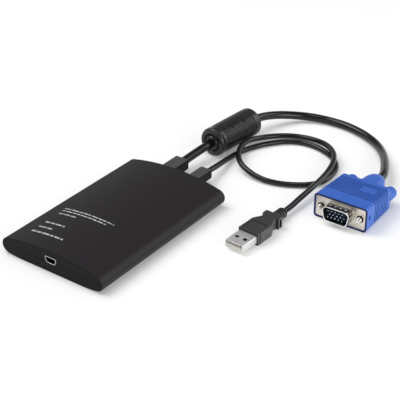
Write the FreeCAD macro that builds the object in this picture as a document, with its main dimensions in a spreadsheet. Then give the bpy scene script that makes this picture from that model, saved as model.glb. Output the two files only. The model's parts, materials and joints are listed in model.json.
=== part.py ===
"""Crash cart adapter: a flat console box with a VGA lead, a USB lead and a mini-USB port.

Millimetres. The origin is at the bottom centre of the box. +X runs across the box, +Y from the
port end to the cable end, +Z up. Both plugs lie beside the box with their fronts towards -Y.
"""
import FreeCAD, Part
import math
import os
import re
import Sketcher

Vector = FreeCAD.Vector
UP = Vector(0, 0, 1)

SIZES = [
    ("case_length", 110, "box, along Y"),
    ("case_width", 70.8, "box, along X"),
    ("case_height", 13.8, "box at the crown of its arched top"),
    ("side_height", 5.5, "widest level of the box, and centre of its side rounding"),
    ("side_lift", 0.8, "how far the side rounding stays above the table"),
    ("parting_height", 6.4, "joint plane of the two shells"),
    ("base_flat", 43, "width of the flat that stands on the table"),
    ("case_wall", 1.8, "shell wall"),
    ("case_edge_radius", 0.6, "rounding of the end edges"),
    ("seam_gap", 0.15, "open seam between the shells"),
    ("fit_gap", 0.15, "clearance of pieces that go into or through another"),
    ("press_gap", 0.05, "clearance of pieces that are pressed or moulded together"),
    ("overshoot", 1, "how far a cutter runs past what it cuts"),
    ("boss_inset_x", 12.4, "screw bosses, in from the long sides"),
    ("boss_inset_y", 11, "screw bosses, in from the ends"),
    ("boss_radius", 2.6, "screw boss"),
    ("shoulder_radius", 4.2, "step on the lower boss that carries the board"),
    ("screw_seat", 2.4, "height of the seat under the screw head"),
    ("screw_head_radius", 2.1, "case screw head"),
    ("screw_head_height", 1.5, "case screw head"),
    ("screw_radius", 1.1, "case screw shank"),
    ("screw_length", 6, "case screw shank"),
    ("board_side_gap", 7.4, "circuit board, in from the long sides"),
    ("board_end_gap", 2.2, "circuit board, in from the end walls"),
    ("board_thickness", 1.6, "circuit board"),
    ("board_height", 4.25, "underside of the circuit board"),
    ("port_width", 7.6, "mini-USB port shell, upper width"),
    ("port_base_width", 5.4, "mini-USB port shell, lower width"),
    ("port_height", 3.9, "mini-USB port shell"),
    ("port_taper", 1.7, "height over which the port shell narrows"),
    ("port_depth", 9, "mini-USB port shell, along Y"),
    ("port_metal", 0.35, "mini-USB port shell wall"),
    ("port_radius", 0.6, "corners of the port shell"),
    ("port_base_depth", 1.6, "plastic block that closes the back of the port"),
    ("tongue_width", 3.9, "contact tongue of the port"),
    ("tongue_thickness", 0.9, "contact tongue of the port"),
    ("tongue_setback", 1.6, "tongue tip behind the port mouth"),
    ("tongue_lift", 0.1, "contact tongue above the middle of the port"),
    ("port_pitch", 0.8, "contacts of the port"),
    ("port_contact_width", 0.4, "contacts of the port"),
    ("port_contact_thickness", 0.12, "contacts of the port"),
    ("port_contact_setback", 0.4, "contacts of the port behind the tip of the tongue"),
    ("capacitor_radius", 2, "capacitors on the circuit board"),
    ("capacitor_height", 4.2, "capacitors on the circuit board"),
    ("boot_offset", 9.5, "cable boots, each side of the middle"),
    ("boot_height", 6.4, "axis of the cable boots"),
    ("vga_boot_width", 9.8, "VGA cable boot"),
    ("vga_boot_depth", 7, "VGA cable boot, up and down"),
    ("vga_boot_reach", 19, "VGA cable boot beyond the box"),
    ("usb_boot_width", 8.4, "USB cable boot"),
    ("usb_boot_depth", 6.2, "USB cable boot, up and down"),
    ("usb_boot_reach", 17.6, "USB cable boot beyond the box"),
    ("boot_radius", 1.3, "rounding of the boots"),
    ("boot_end_radius", 0.9, "rounding of the boots' ends"),
    ("boot_lip", 1.7, "lip of a boot behind the wall, each side"),
    ("boot_lip_depth", 2, "lip of a boot, along Y"),
    ("header_length", 6, "board header of a lead"),
    ("header_height", 3.6, "board header of a lead"),
    ("header_setback", 8, "board header behind the lip of its boot"),
    ("header_wall", 1.3, "wall of a board header beside its slot"),
    ("header_slot_depth", 1.1, "slot in the top of a board header"),
    ("header_slot_length", 3.6, "slot in the top of a board header"),
    ("vga_inner_diameter", 3.4, "VGA lead inside the box"),
    ("usb_inner_diameter", 2.2, "USB lead inside the box"),
    ("vga_cord_diameter", 5.4, "VGA cord"),
    ("usb_cord_diameter", 3.5, "USB cord"),
    ("sleeve_diameter", 18.4, "ferrite sleeve"),
    ("sleeve_length", 40, "ferrite sleeve"),
    ("sleeve_end_radius", 1.8, "rounding of the far end of the sleeve"),
    ("sleeve_near_radius", 1.8, "rounding of the near rim of the sleeve"),
    ("sleeve_dish", 1.3, "hollow of the near end of the sleeve"),
    ("sleeve_rim", 1.1, "flat rim round that hollow"),
    ("bead_radius", 4.6, "bead round the cord at the near end"),
    ("bead_proud", 0.6, "bead beyond the rim"),
    ("bead_slope", 0.5, "how far the side of the bead leans"),
    ("rib_start", 5.6, "first ring groove behind the near end of the sleeve"),
    ("rib_pitch", 1.85, "ring grooves of the sleeve"),
    ("rib_groove", 0.85, "width of a ring groove"),
    ("rib_depth", 0.45, "depth of a ring groove"),
    ("band_width", 3.2, "smooth band along the top of the sleeve"),
    ("band_proud", 0.12, "smooth band above the ribs"),
    ("slot_width", 1, "curved slot in the near collar"),
    ("slot_depth", 0.9, "curved slot in the near collar"),
    ("slot_place", 2.1, "curved slot behind the near end"),
    ("pit_radius", 0.75, "small pits in the sleeve"),
    ("pit_depth", 0.9, "small pits in the sleeve"),
    ("pit_start", 14.2, "first pit behind the near end"),
    ("pit_pitch", 11.6, "pits, along the sleeve"),
    ("core_diameter", 13, "ferrite core"),
    ("core_length", 29, "ferrite core"),
    ("vga_x", 98.8, "axis of the VGA plug"),
    ("vga_front", 76.7, "front rim of the VGA hood"),
    ("hood_width", 34, "VGA hood at the front"),
    ("hood_height", 15.2, "VGA hood at the front"),
    ("hood_rear_width", 32, "VGA hood at the rear"),
    ("hood_rear_height", 14.6, "VGA hood at the rear"),
    ("hood_length", 29.5, "VGA hood"),
    ("hood_radius", 2.1, "corners of the VGA hood"),
    ("hood_rim", 1.1, "rim of the hood round the metal flange"),
    ("groove_start", 9.8, "first grip groove behind the front of the hood"),
    ("groove_pitch", 1.95, "grip grooves"),
    ("groove_width", 0.8, "grip grooves"),
    ("groove_depth", 0.5, "grip grooves"),
    ("patch_offset", 6.6, "smooth patch on the hood, right of its middle"),
    ("patch_start", 17.1, "smooth patch behind the front of the hood"),
    ("patch_width", 9, "smooth patch, across"),
    ("patch_length", 5.6, "smooth patch, along"),
    ("side_pit_radius", 1.4, "round pit in each side of the hood"),
    ("side_pit_place", 3.2, "that pit behind the front of the hood"),
    ("side_pit_lift", 1.2, "that pit above the middle of the hood"),
    ("relief_width", 13.6, "strain relief of the hood at its root"),
    ("relief_height", 11, "strain relief of the hood at its root"),
    ("relief_end_width", 7.2, "strain relief of the hood where the cord comes out"),
    ("relief_length", 16.5, "strain relief of the hood"),
    ("relief_radius", 4, "corners of the strain relief at its root"),
    ("relief_end_radius", 3.3, "corners of the strain relief where the cord comes out"),
    ("flange_recess", 0.3, "metal flange behind the rim of the hood"),
    ("flange_thickness", 0.9, "metal flange"),
    ("flange_radius", 1.2, "corners of the metal flange"),
    ("flange_hole_radius", 2.15, "screw holes of the flange"),
    ("shroud_width", 17.8, "D shroud, upper width outside"),
    ("shroud_height", 9.3, "D shroud, outside"),
    ("shroud_slant", 1.6, "how far each side of the D leans in"),
    ("shroud_depth", 5.9, "D shroud in front of the flange"),
    ("shroud_metal", 0.45, "D shroud wall"),
    ("shroud_radius", 2.8, "corners of the D shroud"),
    ("dimple_radius", 1.2, "ball that presses the dimples of the shroud"),
    ("dimple_depth", 0.28, "dimples of the shroud"),
    ("dimple_pitch", 3.2, "dimples of the shroud, across"),
    ("dimple_place", 2.6, "dimples behind the front lip of the shroud"),
    ("insulator_proud", 0.6, "insulator face in front of the flange"),
    ("insulator_depth", 9, "insulator, along Y"),
    ("pin_radius", 0.4, "VGA pins"),
    ("pin_length", 4.6, "VGA pins in front of the insulator"),
    ("pin_bevel", 0.2, "tapered nose of a VGA pin, across"),
    ("pin_nose", 0.45, "tapered nose of a VGA pin, along"),
    ("pin_pitch", 2.29, "VGA pins in a row"),
    ("pin_row_pitch", 1.98, "rows of VGA pins"),
    ("jack_spacing", 24.99, "thumbscrews of the VGA plug"),
    ("jack_tip_radius", 1.42, "threaded tip of a thumbscrew"),
    ("jack_neck_radius", 1.15, "neck of a thumbscrew in the flange"),
    ("jack_neck_gap", 0.3, "that neck in front of the flange"),
    ("jack_reach", 3.2, "tip in front of the flange"),
    ("jack_radius", 2.1, "shank of a thumbscrew"),
    ("jack_collar_radius", 2.45, "collar that keeps a thumbscrew in the hood"),
    ("jack_collar_length", 2.5, "collar of a thumbscrew"),
    ("jack_float", 3, "room for the collar to slide, before it and behind it"),
    ("jack_bevel", 0.4, "bevel of the tip of a thumbscrew"),
    ("jack_clearance", 0.08, "running clearance of the shank in the hood"),
    ("jack_play", 0.35, "end play of a thumbscrew"),
    ("knob_radius", 3.7, "thumbscrew knob"),
    ("knob_length", 9, "thumbscrew knob"),
    ("knob_socket", 6.5, "depth of the shank in the knob"),
    ("knob_end_radius", 2, "rounding of the knob"),
    ("usb_x", 66.6, "mouth of the USB plug, across"),
    ("usb_front", 18.2, "mouth of the USB plug, along"),
    ("usb_turn", 3.3, "how far the USB plug lies turned, in degrees"),
    ("usb_width", 12, "USB plug shell"),
    ("usb_height", 4.5, "USB plug shell"),
    ("usb_metal", 0.35, "USB plug shell wall"),
    ("usb_radius", 0.6, "corners of the USB plug shell"),
    ("usb_exposed", 12.6, "USB plug shell in front of its grip"),
    ("usb_buried", 6, "USB plug shell inside its grip"),
    ("latch_hole", 2.4, "square holes of the USB plug shell"),
    ("latch_spacing", 5.6, "square holes, across"),
    ("latch_setback", 6.4, "square holes behind the mouth"),
    ("tray_height", 1.9, "plastic block inside the USB plug"),
    ("tray_setback", 0.2, "plastic block behind the mouth"),
    ("contact_inner", 1, "inner USB contacts, each side of the middle"),
    ("contact_outer", 3.5, "outer USB contacts, each side of the middle"),
    ("contact_width", 1, "USB contacts"),
    ("contact_thickness", 0.15, "USB contacts"),
    ("contact_length", 8.5, "USB contacts"),
    ("contact_setback", 1.2, "USB contacts behind the plastic's front"),
    ("grip_width", 13.6, "USB grip"),
    ("grip_height", 7.4, "USB grip"),
    ("grip_length", 12.9, "full-width part of the USB grip"),
    ("grip_taper", 5.3, "part of the USB grip that narrows"),
    ("neck_width", 8.2, "USB grip at its neck"),
    ("neck_length", 2.5, "USB grip at its neck"),
    ("wing_width", 11.4, "finger wings of the USB grip"),
    ("wing_length", 4.3, "finger wings of the USB grip"),
    ("wing_slot", 1.5, "slot in the side of a wing"),
    ("wing_slot_depth", 1.9, "slot in the side of a wing"),
    ("wing_roof", 1.7, "top plate over that slot"),
    ("grip_corner_radius", 0.7, "plan corners of the USB grip"),
    ("grip_edge_radius", 0.5, "top and bottom edges of the USB grip"),
    ("panel_inset", 1.5, "sunk panel on top of the USB grip, in from its sides"),
    ("panel_depth", 0.3, "sunk panel on top of the USB grip"),
    ("panel_radius", 0.8, "corners of that panel"),
    ("side_groove", 0.8, "upright groove in each side of the USB grip"),
    ("side_groove_depth", 0.4, "upright groove in each side of the USB grip"),
    ("side_groove_place", 1.7, "upright groove behind the front of the grip"),
    ("step_depth", 0.35, "step of the grip's top at the neck"),
    ("step_place", 2.4, "that step behind the full width of the grip"),
    ("tail_radius", 3.2, "ringed strain relief of the USB plug"),
    ("tail_end_radius", 2.5, "its end"),
    ("tail_length", 8.8, "ringed strain relief of the USB plug"),
    ("tail_tip", 1.3, "tapered tip of the strain relief"),
    ("tail_groove", 0.9, "ring grooves of the strain relief"),
    ("tail_groove_depth", 0.7, "ring grooves of the strain relief"),
    ("tail_groove_pitch", 2, "ring grooves of the strain relief"),
    ("tail_groove_start", 2.4, "first ring groove behind the wings"),
    ("tail_run", 7.5, "straight cord behind the strain relief of the USB plug"),
]
NAMES = {name for name, value, note in SIZES}
TOUCHING = 1e-4

doc = FreeCAD.newDocument("crash_cart_adapter")
sheet = doc.addObject("Spreadsheet::Sheet", "Sizes")
nodes = []


def fill_sheet():
    """Puts each driving size in a row of the sheet: its name, its number and what it is."""
    for row, (name, value, note) in enumerate(SIZES, start=1):
        sheet.set(f"A{row}", name)
        sheet.set(f"B{row}", str(value))
        sheet.setAlias(f"B{row}", name)
        sheet.set(f"C{row}", note)
    doc.recompute()


def size(text):
    """The number that an expression over the sheet's names has now."""
    return float(sheet.evalExpression(str(text)))


def bind(thing, place, text):
    """Ties a property to an expression over the sheet's names."""
    linked = re.sub(r"[a-z]\w*", lambda word: f"Sizes.{word[0]}" if word[0] in NAMES else word[0], str(text))
    thing.setExpression(place, linked)


def place_at(thing, x="0", y="0", z="0"):
    for axis, text in zip("xyz", (x, y, z)):
        bind(thing, f"Placement.Base.{axis}", text)


def node(thing, name):
    """Marks a finished sub-part, which is written under this name."""
    thing.Label = name
    nodes.append(thing)
    return thing


# Sketches and the solids made from them


def new_body(name):
    return doc.addObject("PartDesign::Body", name)


def sketch_on(body, role, level):
    """A sketch on one of the body's own planes, moved along that plane's normal."""
    sketch = body.newObject("Sketcher::SketchObject", f"{body.Name}_sketch")
    plane = next(feature for feature in body.Origin.OriginFeatures if feature.Role == role)
    sketch.AttachmentSupport = [(plane, "")]
    sketch.MapMode = "FlatFace"
    bind(sketch, "AttachmentOffset.Base.z", level)
    return sketch


def sketch_across(body, y):
    """A sketch in an XZ plane at y. That plane's normal is -Y."""
    return sketch_on(body, "XZ_Plane", f"-({y})")


def fix_value(sketch, constraint, text):
    index = sketch.addConstraint(constraint)
    bind(sketch, f"Constraints[{index}]", text)


def fix_point(sketch, curve, end, x, y):
    fix_value(sketch, Sketcher.Constraint("DistanceX", -1, 1, curve, end, size(x)), x)
    fix_value(sketch, Sketcher.Constraint("DistanceY", -1, 1, curve, end, size(y)), y)


def draw_outline(sketch, corners, radius=None):
    """Closes straight sides through corners, which are pairs of expressions, rounded by radius."""
    points = [Vector(size(x), size(y), 0) for x, y in corners]
    sides = []
    for index, point in enumerate(points):
        side = Part.LineSegment(point, points[(index + 1) % len(points)])
        sides.append(sketch.addGeometry(side, radius is not None))
    for index, (x, y) in enumerate(corners):
        sketch.addConstraint(Sketcher.Constraint("Coincident", sides[index - 1], 2, sides[index], 1))
        fix_point(sketch, sides[index], 1, x, y)
    if radius is not None:
        round_outline(sketch, sides, points, radius)


def corner_arc(before, corner, after, radius):
    """The arc in a corner, its two tangent points, and whether it runs from the first to the second."""
    back = (before - corner).normalize()
    ahead = (after - corner).normalize()
    half = back.getAngle(ahead) / 2
    first = corner + back * (radius / math.tan(half))
    second = corner + ahead * (radius / math.tan(half))
    centre = corner + (back + ahead).normalize() * (radius / math.sin(half))
    leftward = ahead.cross(back).z > 0
    start, stop = (first, second) if leftward else (second, first)
    begin = math.atan2(start.y - centre.y, start.x - centre.x)
    end = math.atan2(stop.y - centre.y, stop.x - centre.x)
    if end < begin:
        end += 2 * math.pi
    arc = Part.ArcOfCircle(Part.Circle(centre, UP, radius), begin, end)
    return arc, first, second, leftward


def round_outline(sketch, sides, points, radius):
    """Draws the rounded outline along the construction lines of its sharp one."""
    count = len(points)
    bends = []
    for index, point in enumerate(points):
        bends.append(corner_arc(points[index - 1], point, points[(index + 1) % count], size(radius)))
    lines = []
    for index in range(count):
        line = Part.LineSegment(bends[index][2], bends[(index + 1) % count][1])
        lines.append(sketch.addGeometry(line))
        sketch.addConstraint(Sketcher.Constraint("PointOnObject", lines[index], 1, sides[index]))
        sketch.addConstraint(Sketcher.Constraint("PointOnObject", lines[index], 2, sides[index]))
    first_arc = None
    for index, (arc, first, second, leftward) in enumerate(bends):
        curve = sketch.addGeometry(arc)
        came_in, goes_out = (1, 2) if leftward else (2, 1)
        sketch.addConstraint(Sketcher.Constraint("Tangent", lines[index - 1], 2, curve, came_in))
        sketch.addConstraint(Sketcher.Constraint("Tangent", curve, goes_out, lines[index], 1))
        if first_arc is None:
            first_arc = curve
            fix_value(sketch, Sketcher.Constraint("Radius", curve, size(radius)), radius)
        else:
            sketch.addConstraint(Sketcher.Constraint("Equal", first_arc, curve))


def pad(body, sketch, length, reverse=False, symmetric=False):
    feature = body.newObject("PartDesign::Pad", f"{body.Name}_pad")
    feature.Profile = sketch
    bind(feature, "Length", length)
    feature.Reversed = reverse
    if symmetric:
        feature.SideType = "Symmetric"
    return feature


def prism_y(name, corners, start, length, radius=None):
    """A body whose outline in X and Z runs from start along +Y."""
    body = new_body(name)
    sketch = sketch_across(body, start)
    draw_outline(sketch, corners, radius)
    pad(body, sketch, length, reverse=True)
    return body


def prism_z(name, corners, start, length, radius=None):
    """A body whose outline in X and Y runs from start along +Z."""
    body = new_body(name)
    sketch = sketch_on(body, "XY_Plane", start)
    draw_outline(sketch, corners, radius)
    pad(body, sketch, length)
    return body


def loft_y(name, sections, straight=True):
    """A body that goes from one outline to the next; sections are (y, corners, corner radius)."""
    body = new_body(name)
    sketches = []
    for y, corners, radius in sections:
        sketch = sketch_across(body, y)
        draw_outline(sketch, corners, radius)
        sketches.append(sketch)
    feature = body.newObject("PartDesign::AdditiveLoft", f"{name}_loft")
    feature.Profile = sketches[0]
    feature.Sections = sketches[1:]
    feature.Ruled = straight
    return body


def turned_y(name, corners, turn=360):
    """A body turned about the Y axis from corners given as (radius, y)."""
    body = new_body(name)
    sketch = sketch_on(body, "XY_Plane", "0")
    draw_outline(sketch, corners)
    feature = body.newObject("PartDesign::Revolution", f"{name}_turn")
    feature.Profile = sketch
    feature.ReferenceAxis = (sketch, ["V_Axis"])
    feature.Angle = turn
    return body


def round_edges(body, radius, wanted):
    """Rounds the body's edges for which wanted(edge) holds."""
    doc.recompute()
    base = body.Tip
    names = []
    for index, edge in enumerate(base.Shape.Edges, start=1):
        if wanted(edge):
            names.append(f"Edge{index}")
    feature = body.newObject("PartDesign::Fillet", f"{body.Name}_rounding")
    feature.Base = (base, names)
    bind(feature, "Radius", radius)
    return body


def lies_at(axis, level):
    """A test for edges that lie wholly at one level of an axis."""
    height = size(level)

    def wanted(edge):
        box = edge.BoundBox
        low = getattr(box, f"{axis}Min")
        high = getattr(box, f"{axis}Max")
        return abs(low - height) < TOUCHING and abs(high - height) < TOUCHING

    return wanted


def rectangle(x, y, width, height):
    """Corners of a rectangle about a centre, counter-clockwise."""
    left, right = f"{x}-({width})/2", f"{x}+({width})/2"
    low, high = f"{y}-({height})/2", f"{y}+({height})/2"
    return [(left, low), (right, low), (right, high), (left, high)]


def block(name, x, y, z, width, length, height):
    """A box with its middle at x, its front at y and its underside at z."""
    box = doc.addObject("Part::Box", name)
    bind(box, "Length", width)
    bind(box, "Width", length)
    bind(box, "Height", height)
    place_at(box, f"{x}-({width})/2", y, z)
    return box


def post(name, x, y, z, radius, height):
    """An upright cylinder that stands at z."""
    cylinder = doc.addObject("Part::Cylinder", name)
    bind(cylinder, "Radius", radius)
    bind(cylinder, "Height", height)
    place_at(cylinder, x, y, z)
    return cylinder


def rod(name, x, y, z, radius, length):
    """A cylinder that runs from y along +Y."""
    cylinder = doc.addObject("Part::Cylinder", name)
    cylinder.Placement.Rotation = FreeCAD.Rotation(Vector(1, 0, 0), -90)
    bind(cylinder, "Radius", radius)
    bind(cylinder, "Height", length)
    place_at(cylinder, x, y, z)
    return cylinder


def cross_rod(name, x, y, z, radius, length):
    """A cylinder with its middle at x, that runs across along X."""
    cylinder = doc.addObject("Part::Cylinder", name)
    cylinder.Placement.Rotation = FreeCAD.Rotation(Vector(0, 1, 0), 90)
    bind(cylinder, "Radius", radius)
    bind(cylinder, "Height", length)
    place_at(cylinder, f"{x}-({length})/2", y, z)
    return cylinder


def ball(name, x, y, z, radius):
    sphere = doc.addObject("Part::Sphere", name)
    bind(sphere, "Radius", radius)
    place_at(sphere, x, y, z)
    return sphere


def join(name, parts):
    fused = doc.addObject("Part::MultiFuse", name)
    fused.Shapes = parts
    return fused


def group(name, parts):
    """Separate like solids that share a node."""
    compound = doc.addObject("Part::Compound", name)
    compound.Links = parts
    return compound


def overlap(name, first, second):
    common = doc.addObject("Part::Common", name)
    common.Base = first
    common.Tool = second
    return common


def cut(name, base, tools):
    """The base without the tools."""
    result = doc.addObject("Part::Cut", name)
    result.Base = base
    result.Tool = tools[0] if len(tools) == 1 else join(f"{name}_tools", tools)
    return result


# Box


SIDE_RADIUS = "(side_height-side_lift)"
SIDE_CENTRE = f"(case_width/2-{SIDE_RADIUS})"
CROWN = "(case_height-side_height)"
TOP_RADIUS = f"(({SIDE_CENTRE}^2+{CROWN}^2-{SIDE_RADIUS}^2)/(2*({CROWN}-{SIDE_RADIUS})))"
MARGIN = f"({SIDE_CENTRE}-base_flat/2)"
MARGIN_RADIUS = f"(({MARGIN}^2+side_height^2-{SIDE_RADIUS}^2)/(2*side_lift))"
FRONT_FACE = "-case_length/2"
CABLE_FACE = "case_length/2"
BOARD_TOP = "(board_height+board_thickness)"
BOARD_WIDTH = "(case_width-2*board_side_gap)"
BOARD_LENGTH = "(case_length-2*(case_wall+board_end_gap))"
BOSS_X = "(case_width/2-boss_inset_x)"
BOSS_Y = "(case_length/2-boss_inset_y)"


def arc_between(centre, radius, start, stop):
    """The counter-clockwise arc about centre between the directions of two other points."""
    begin = math.atan2(start.y - centre.y, start.x - centre.x)
    end = math.atan2(stop.y - centre.y, stop.x - centre.x)
    if end < begin:
        end += 2 * math.pi
    return Part.ArcOfCircle(Part.Circle(centre, UP, radius), begin, end)


def draw_case_section(sketch, inset):
    """The lens section of the box: arched top, round sides, flat base with upswept margins."""
    reach, level = size(SIDE_CENTRE), size("side_height")
    top_radius, margin_radius = size(TOP_RADIUS), size(MARGIN_RADIUS)
    wall = size(inset)
    crown = Vector(0, size("case_height") - top_radius, 0)
    left, right = Vector(-reach, level, 0), Vector(reach, level, 0)
    half_flat = size("base_flat/2")
    left_margin, right_margin = Vector(-half_flat, margin_radius, 0), Vector(half_flat, margin_radius, 0)
    left_foot, right_foot = Vector(-half_flat, wall, 0), Vector(half_flat, wall, 0)
    side = size(SIDE_RADIUS) - wall

    def beyond(far, near):
        return near + (near - far)

    top = sketch.addGeometry(arc_between(crown, top_radius - wall, right, left))
    left_side = sketch.addGeometry(
        arc_between(left, side, beyond(crown, left), beyond(left_margin, left)))
    left_low = sketch.addGeometry(arc_between(left_margin, margin_radius - wall, left, left_foot))
    flat = sketch.addGeometry(Part.LineSegment(left_foot, right_foot))
    right_low = sketch.addGeometry(arc_between(right_margin, margin_radius - wall, right_foot, right))
    right_side = sketch.addGeometry(
        arc_between(right, side, beyond(right_margin, right), beyond(crown, right)))
    ring = [top, left_side, left_low, flat, right_low, right_side]
    for index, curve in enumerate(ring):
        sketch.addConstraint(Sketcher.Constraint("Tangent", ring[index - 1], 2, curve, 1))
    for curve, sign in ((left_side, "-"), (right_side, "")):
        fix_value(sketch, Sketcher.Constraint("Radius", curve, side), f"{SIDE_RADIUS}-{inset}")
        fix_point(sketch, curve, 3, f"{sign}{SIDE_CENTRE}", "side_height")
    fix_point(sketch, flat, 1, "-base_flat/2", inset)
    fix_point(sketch, flat, 2, "base_flat/2", inset)
    fix_value(sketch, Sketcher.Constraint("Radius", top, top_radius - wall), f"{TOP_RADIUS}-{inset}")


def case_solid(name, inset, length):
    body = new_body(name)
    sketch = sketch_across(body, "0")
    draw_case_section(sketch, inset)
    pad(body, sketch, length, symmetric=True)
    return body


def boss_places():
    for x in (f"-{BOSS_X}", BOSS_X):
        for y in (f"-{BOSS_Y}", BOSS_Y):
            yield x, y


def port_corners(inset):
    """Outline of the mini-USB port, wide side up, standing on the board."""
    half, foot = f"(port_width/2-{inset})", f"(port_base_width/2-{inset}/2)"
    low, high = f"{BOARD_TOP}+{inset}", f"{BOARD_TOP}+port_height-{inset}"
    bend = f"{BOARD_TOP}+port_taper"
    right = [(foot, low), (half, bend), (half, high)]
    return right + [(f"-{x}", z) for x, z in reversed(right)]


BOOTS = {"vga": "-boot_offset", "usb": "boot_offset"}


def wall_openings():
    """Cutters for the port mouth and for the two cable boots."""
    tools = [prism_y("port_mouth", port_corners("(-fit_gap)"), f"{FRONT_FACE}-case_wall", "3*case_wall",
                     "port_radius+fit_gap")]
    for lead, x in BOOTS.items():
        opening = rectangle(x, "boot_height", f"{lead}_boot_width+2*fit_gap", f"{lead}_boot_depth+2*fit_gap")
        tools.append(prism_y(f"{lead}_boot_opening", opening, f"{CABLE_FACE}-2*case_wall", "3*case_wall",
                             "boot_radius+fit_gap"))
    return tools


def build_case():
    outer = case_solid("case_form", "0", "case_length")
    ends = (lies_at("Y", FRONT_FACE), lies_at("Y", CABLE_FACE))
    round_edges(outer, "case_edge_radius", lambda edge: any(end(edge) for end in ends))
    hollow = case_solid("case_hollow", "case_wall", "case_length-2*case_wall")
    blank = cut("case_blank", outer, [hollow])
    lower_space = block("lower_space", "0", FRONT_FACE, "0", "case_width", "case_length", "parting_height")
    upper_space = block("upper_space", "0", FRONT_FACE, "parting_height+seam_gap", "case_width",
                        "case_length", "case_height")
    openings = wall_openings()
    build_bottom(outer, overlap("lower_half", blank, lower_space), openings)
    build_top(outer, overlap("upper_half", blank, upper_space), openings)
    build_screws()


def build_bottom(outer, half, openings):
    posts, holes = [], []
    for x, y in boss_places():
        posts.append(post("lower_boss", x, y, "0", "boss_radius", "parting_height"))
        posts.append(post("board_shoulder", x, y, "0", "shoulder_radius", "board_height"))
        holes.append(post("head_recess", x, y, "-case_wall", "screw_head_radius+fit_gap",
                          "screw_seat+case_wall"))
        holes.append(post("screw_hole", x, y, "0", "screw_radius+fit_gap", "parting_height+case_wall"))
    trimmed = overlap("lower_bosses", outer, join("lower_boss_posts", posts))
    node(cut("bottom_shell", join("lower_blank", [half, trimmed]), openings + holes), "bottom_shell")


def build_top(outer, half, openings):
    posts, holes = [], []
    for x, y in boss_places():
        posts.append(post("upper_boss", x, y, "parting_height", "boss_radius", "case_height"))
        holes.append(post("pilot_hole", x, y, "0", "screw_radius+press_gap",
                          "screw_seat+screw_length+fit_gap"))
    trimmed = overlap("upper_bosses", outer, join("upper_boss_posts", posts))
    node(cut("top_shell", join("upper_blank", [half, trimmed]), openings + holes), "top_shell")


def build_screws():
    screws = []
    for x, y in boss_places():
        low = "screw_seat-screw_head_height"
        head = post("screw_head", x, y, low, "screw_head_radius", "screw_head_height")
        shank = post("screw_shank", x, y, low, "screw_radius", "screw_length+screw_head_height")
        screws.append(join("case_screw", [head, shank]))
    node(group("case_screws", screws), "case_screws")


# Circuit board and what stands on it


def build_board():
    plate = block("board_plate", "0", f"-{BOARD_LENGTH}/2", "board_height", BOARD_WIDTH, BOARD_LENGTH,
                  "board_thickness")
    holes = [post("board_hole", x, y, "0", "boss_radius+fit_gap", "case_height") for x, y in boss_places()]
    node(cut("main_board", plate, holes), "main_board")


CHIPS = [
    ("video_chip", -6, -2, 14, 14, 1.4),
    ("processor_chip", 11, -22, 10, 10, 1.2),
    ("memory_chip", 12, 4, 10, 18, 1.2),
    ("clock_crystal", -14, -24, 4.6, 11, 3.4),
]
CAPACITORS = [(-18, 16), (-18, 23), (19, -34), (19, -27), (-4, 24), (4, 24)]


def build_components():
    for name, x, y, width, length, height in CHIPS:
        node(block(name, x, y, BOARD_TOP, width, length, height), name)
    cans = []
    for x, y in CAPACITORS:
        cans.append(post("capacitor", x, y, BOARD_TOP, "capacitor_radius", "capacitor_height"))
    node(group("filter_capacitors", cans), "filter_capacitors")


PORT_BACK = f"({FRONT_FACE}+port_depth)"
TONGUE_LEVEL = f"({BOARD_TOP}+port_height/2+tongue_lift)"
PORT_CONTACTS = 5


def build_port():
    outside = prism_y("port_outside", port_corners("0"), FRONT_FACE, "port_depth", "port_radius")
    inside = prism_y("port_inside", port_corners("port_metal"), f"{FRONT_FACE}-overshoot",
                     "port_depth+2*overshoot", "port_radius-port_metal/2")
    node(cut("console_port_shell", outside, [inside]), "console_port_shell")
    base = prism_y("port_base", port_corners("port_metal"), f"{PORT_BACK}-port_base_depth", "port_base_depth",
                   "port_radius-port_metal/2")
    tongue = block("port_tongue", "0", f"{FRONT_FACE}+tongue_setback", TONGUE_LEVEL, "tongue_width",
                   "port_depth-tongue_setback-port_base_depth/2", "tongue_thickness")
    node(join("console_port_tongue", [base, tongue]), "console_port_tongue")
    strips = []
    for index in range(PORT_CONTACTS):
        x = f"{index - (PORT_CONTACTS - 1) / 2}*port_pitch"
        strips.append(block("port_contact", x, f"{FRONT_FACE}+tongue_setback+port_contact_setback",
                            f"{TONGUE_LEVEL}-port_contact_thickness", "port_contact_width",
                            "port_depth-tongue_setback-port_base_depth-port_contact_setback",
                            "port_contact_thickness"))
    node(group("console_port_contacts", strips), "console_port_contacts")


BOOT_INNER = f"({CABLE_FACE}-case_wall-boot_lip_depth)"
HEADER_BACK = f"({BOOT_INNER}-header_setback)"


def build_boot(lead, x):
    width, depth = f"{lead}_boot_width", f"{lead}_boot_depth"
    end = f"{CABLE_FACE}+{lead}_boot_reach"
    length = f"case_wall+boot_lip_depth+{lead}_boot_reach"
    sleeve = prism_y(f"{lead}_boot_sleeve", rectangle(x, "boot_height", width, depth), BOOT_INNER, length,
                     "boot_radius")
    round_edges(sleeve, "boot_end_radius", lies_at("Y", end))
    lip_outline = rectangle(x, "boot_height", f"{width}+2*boot_lip", depth)
    lip = prism_y(f"{lead}_boot_flange", lip_outline, BOOT_INNER, "boot_lip_depth", "boot_radius")
    node(join(f"{lead}_boot", [sleeve, lip]), f"{lead}_boot")


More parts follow.
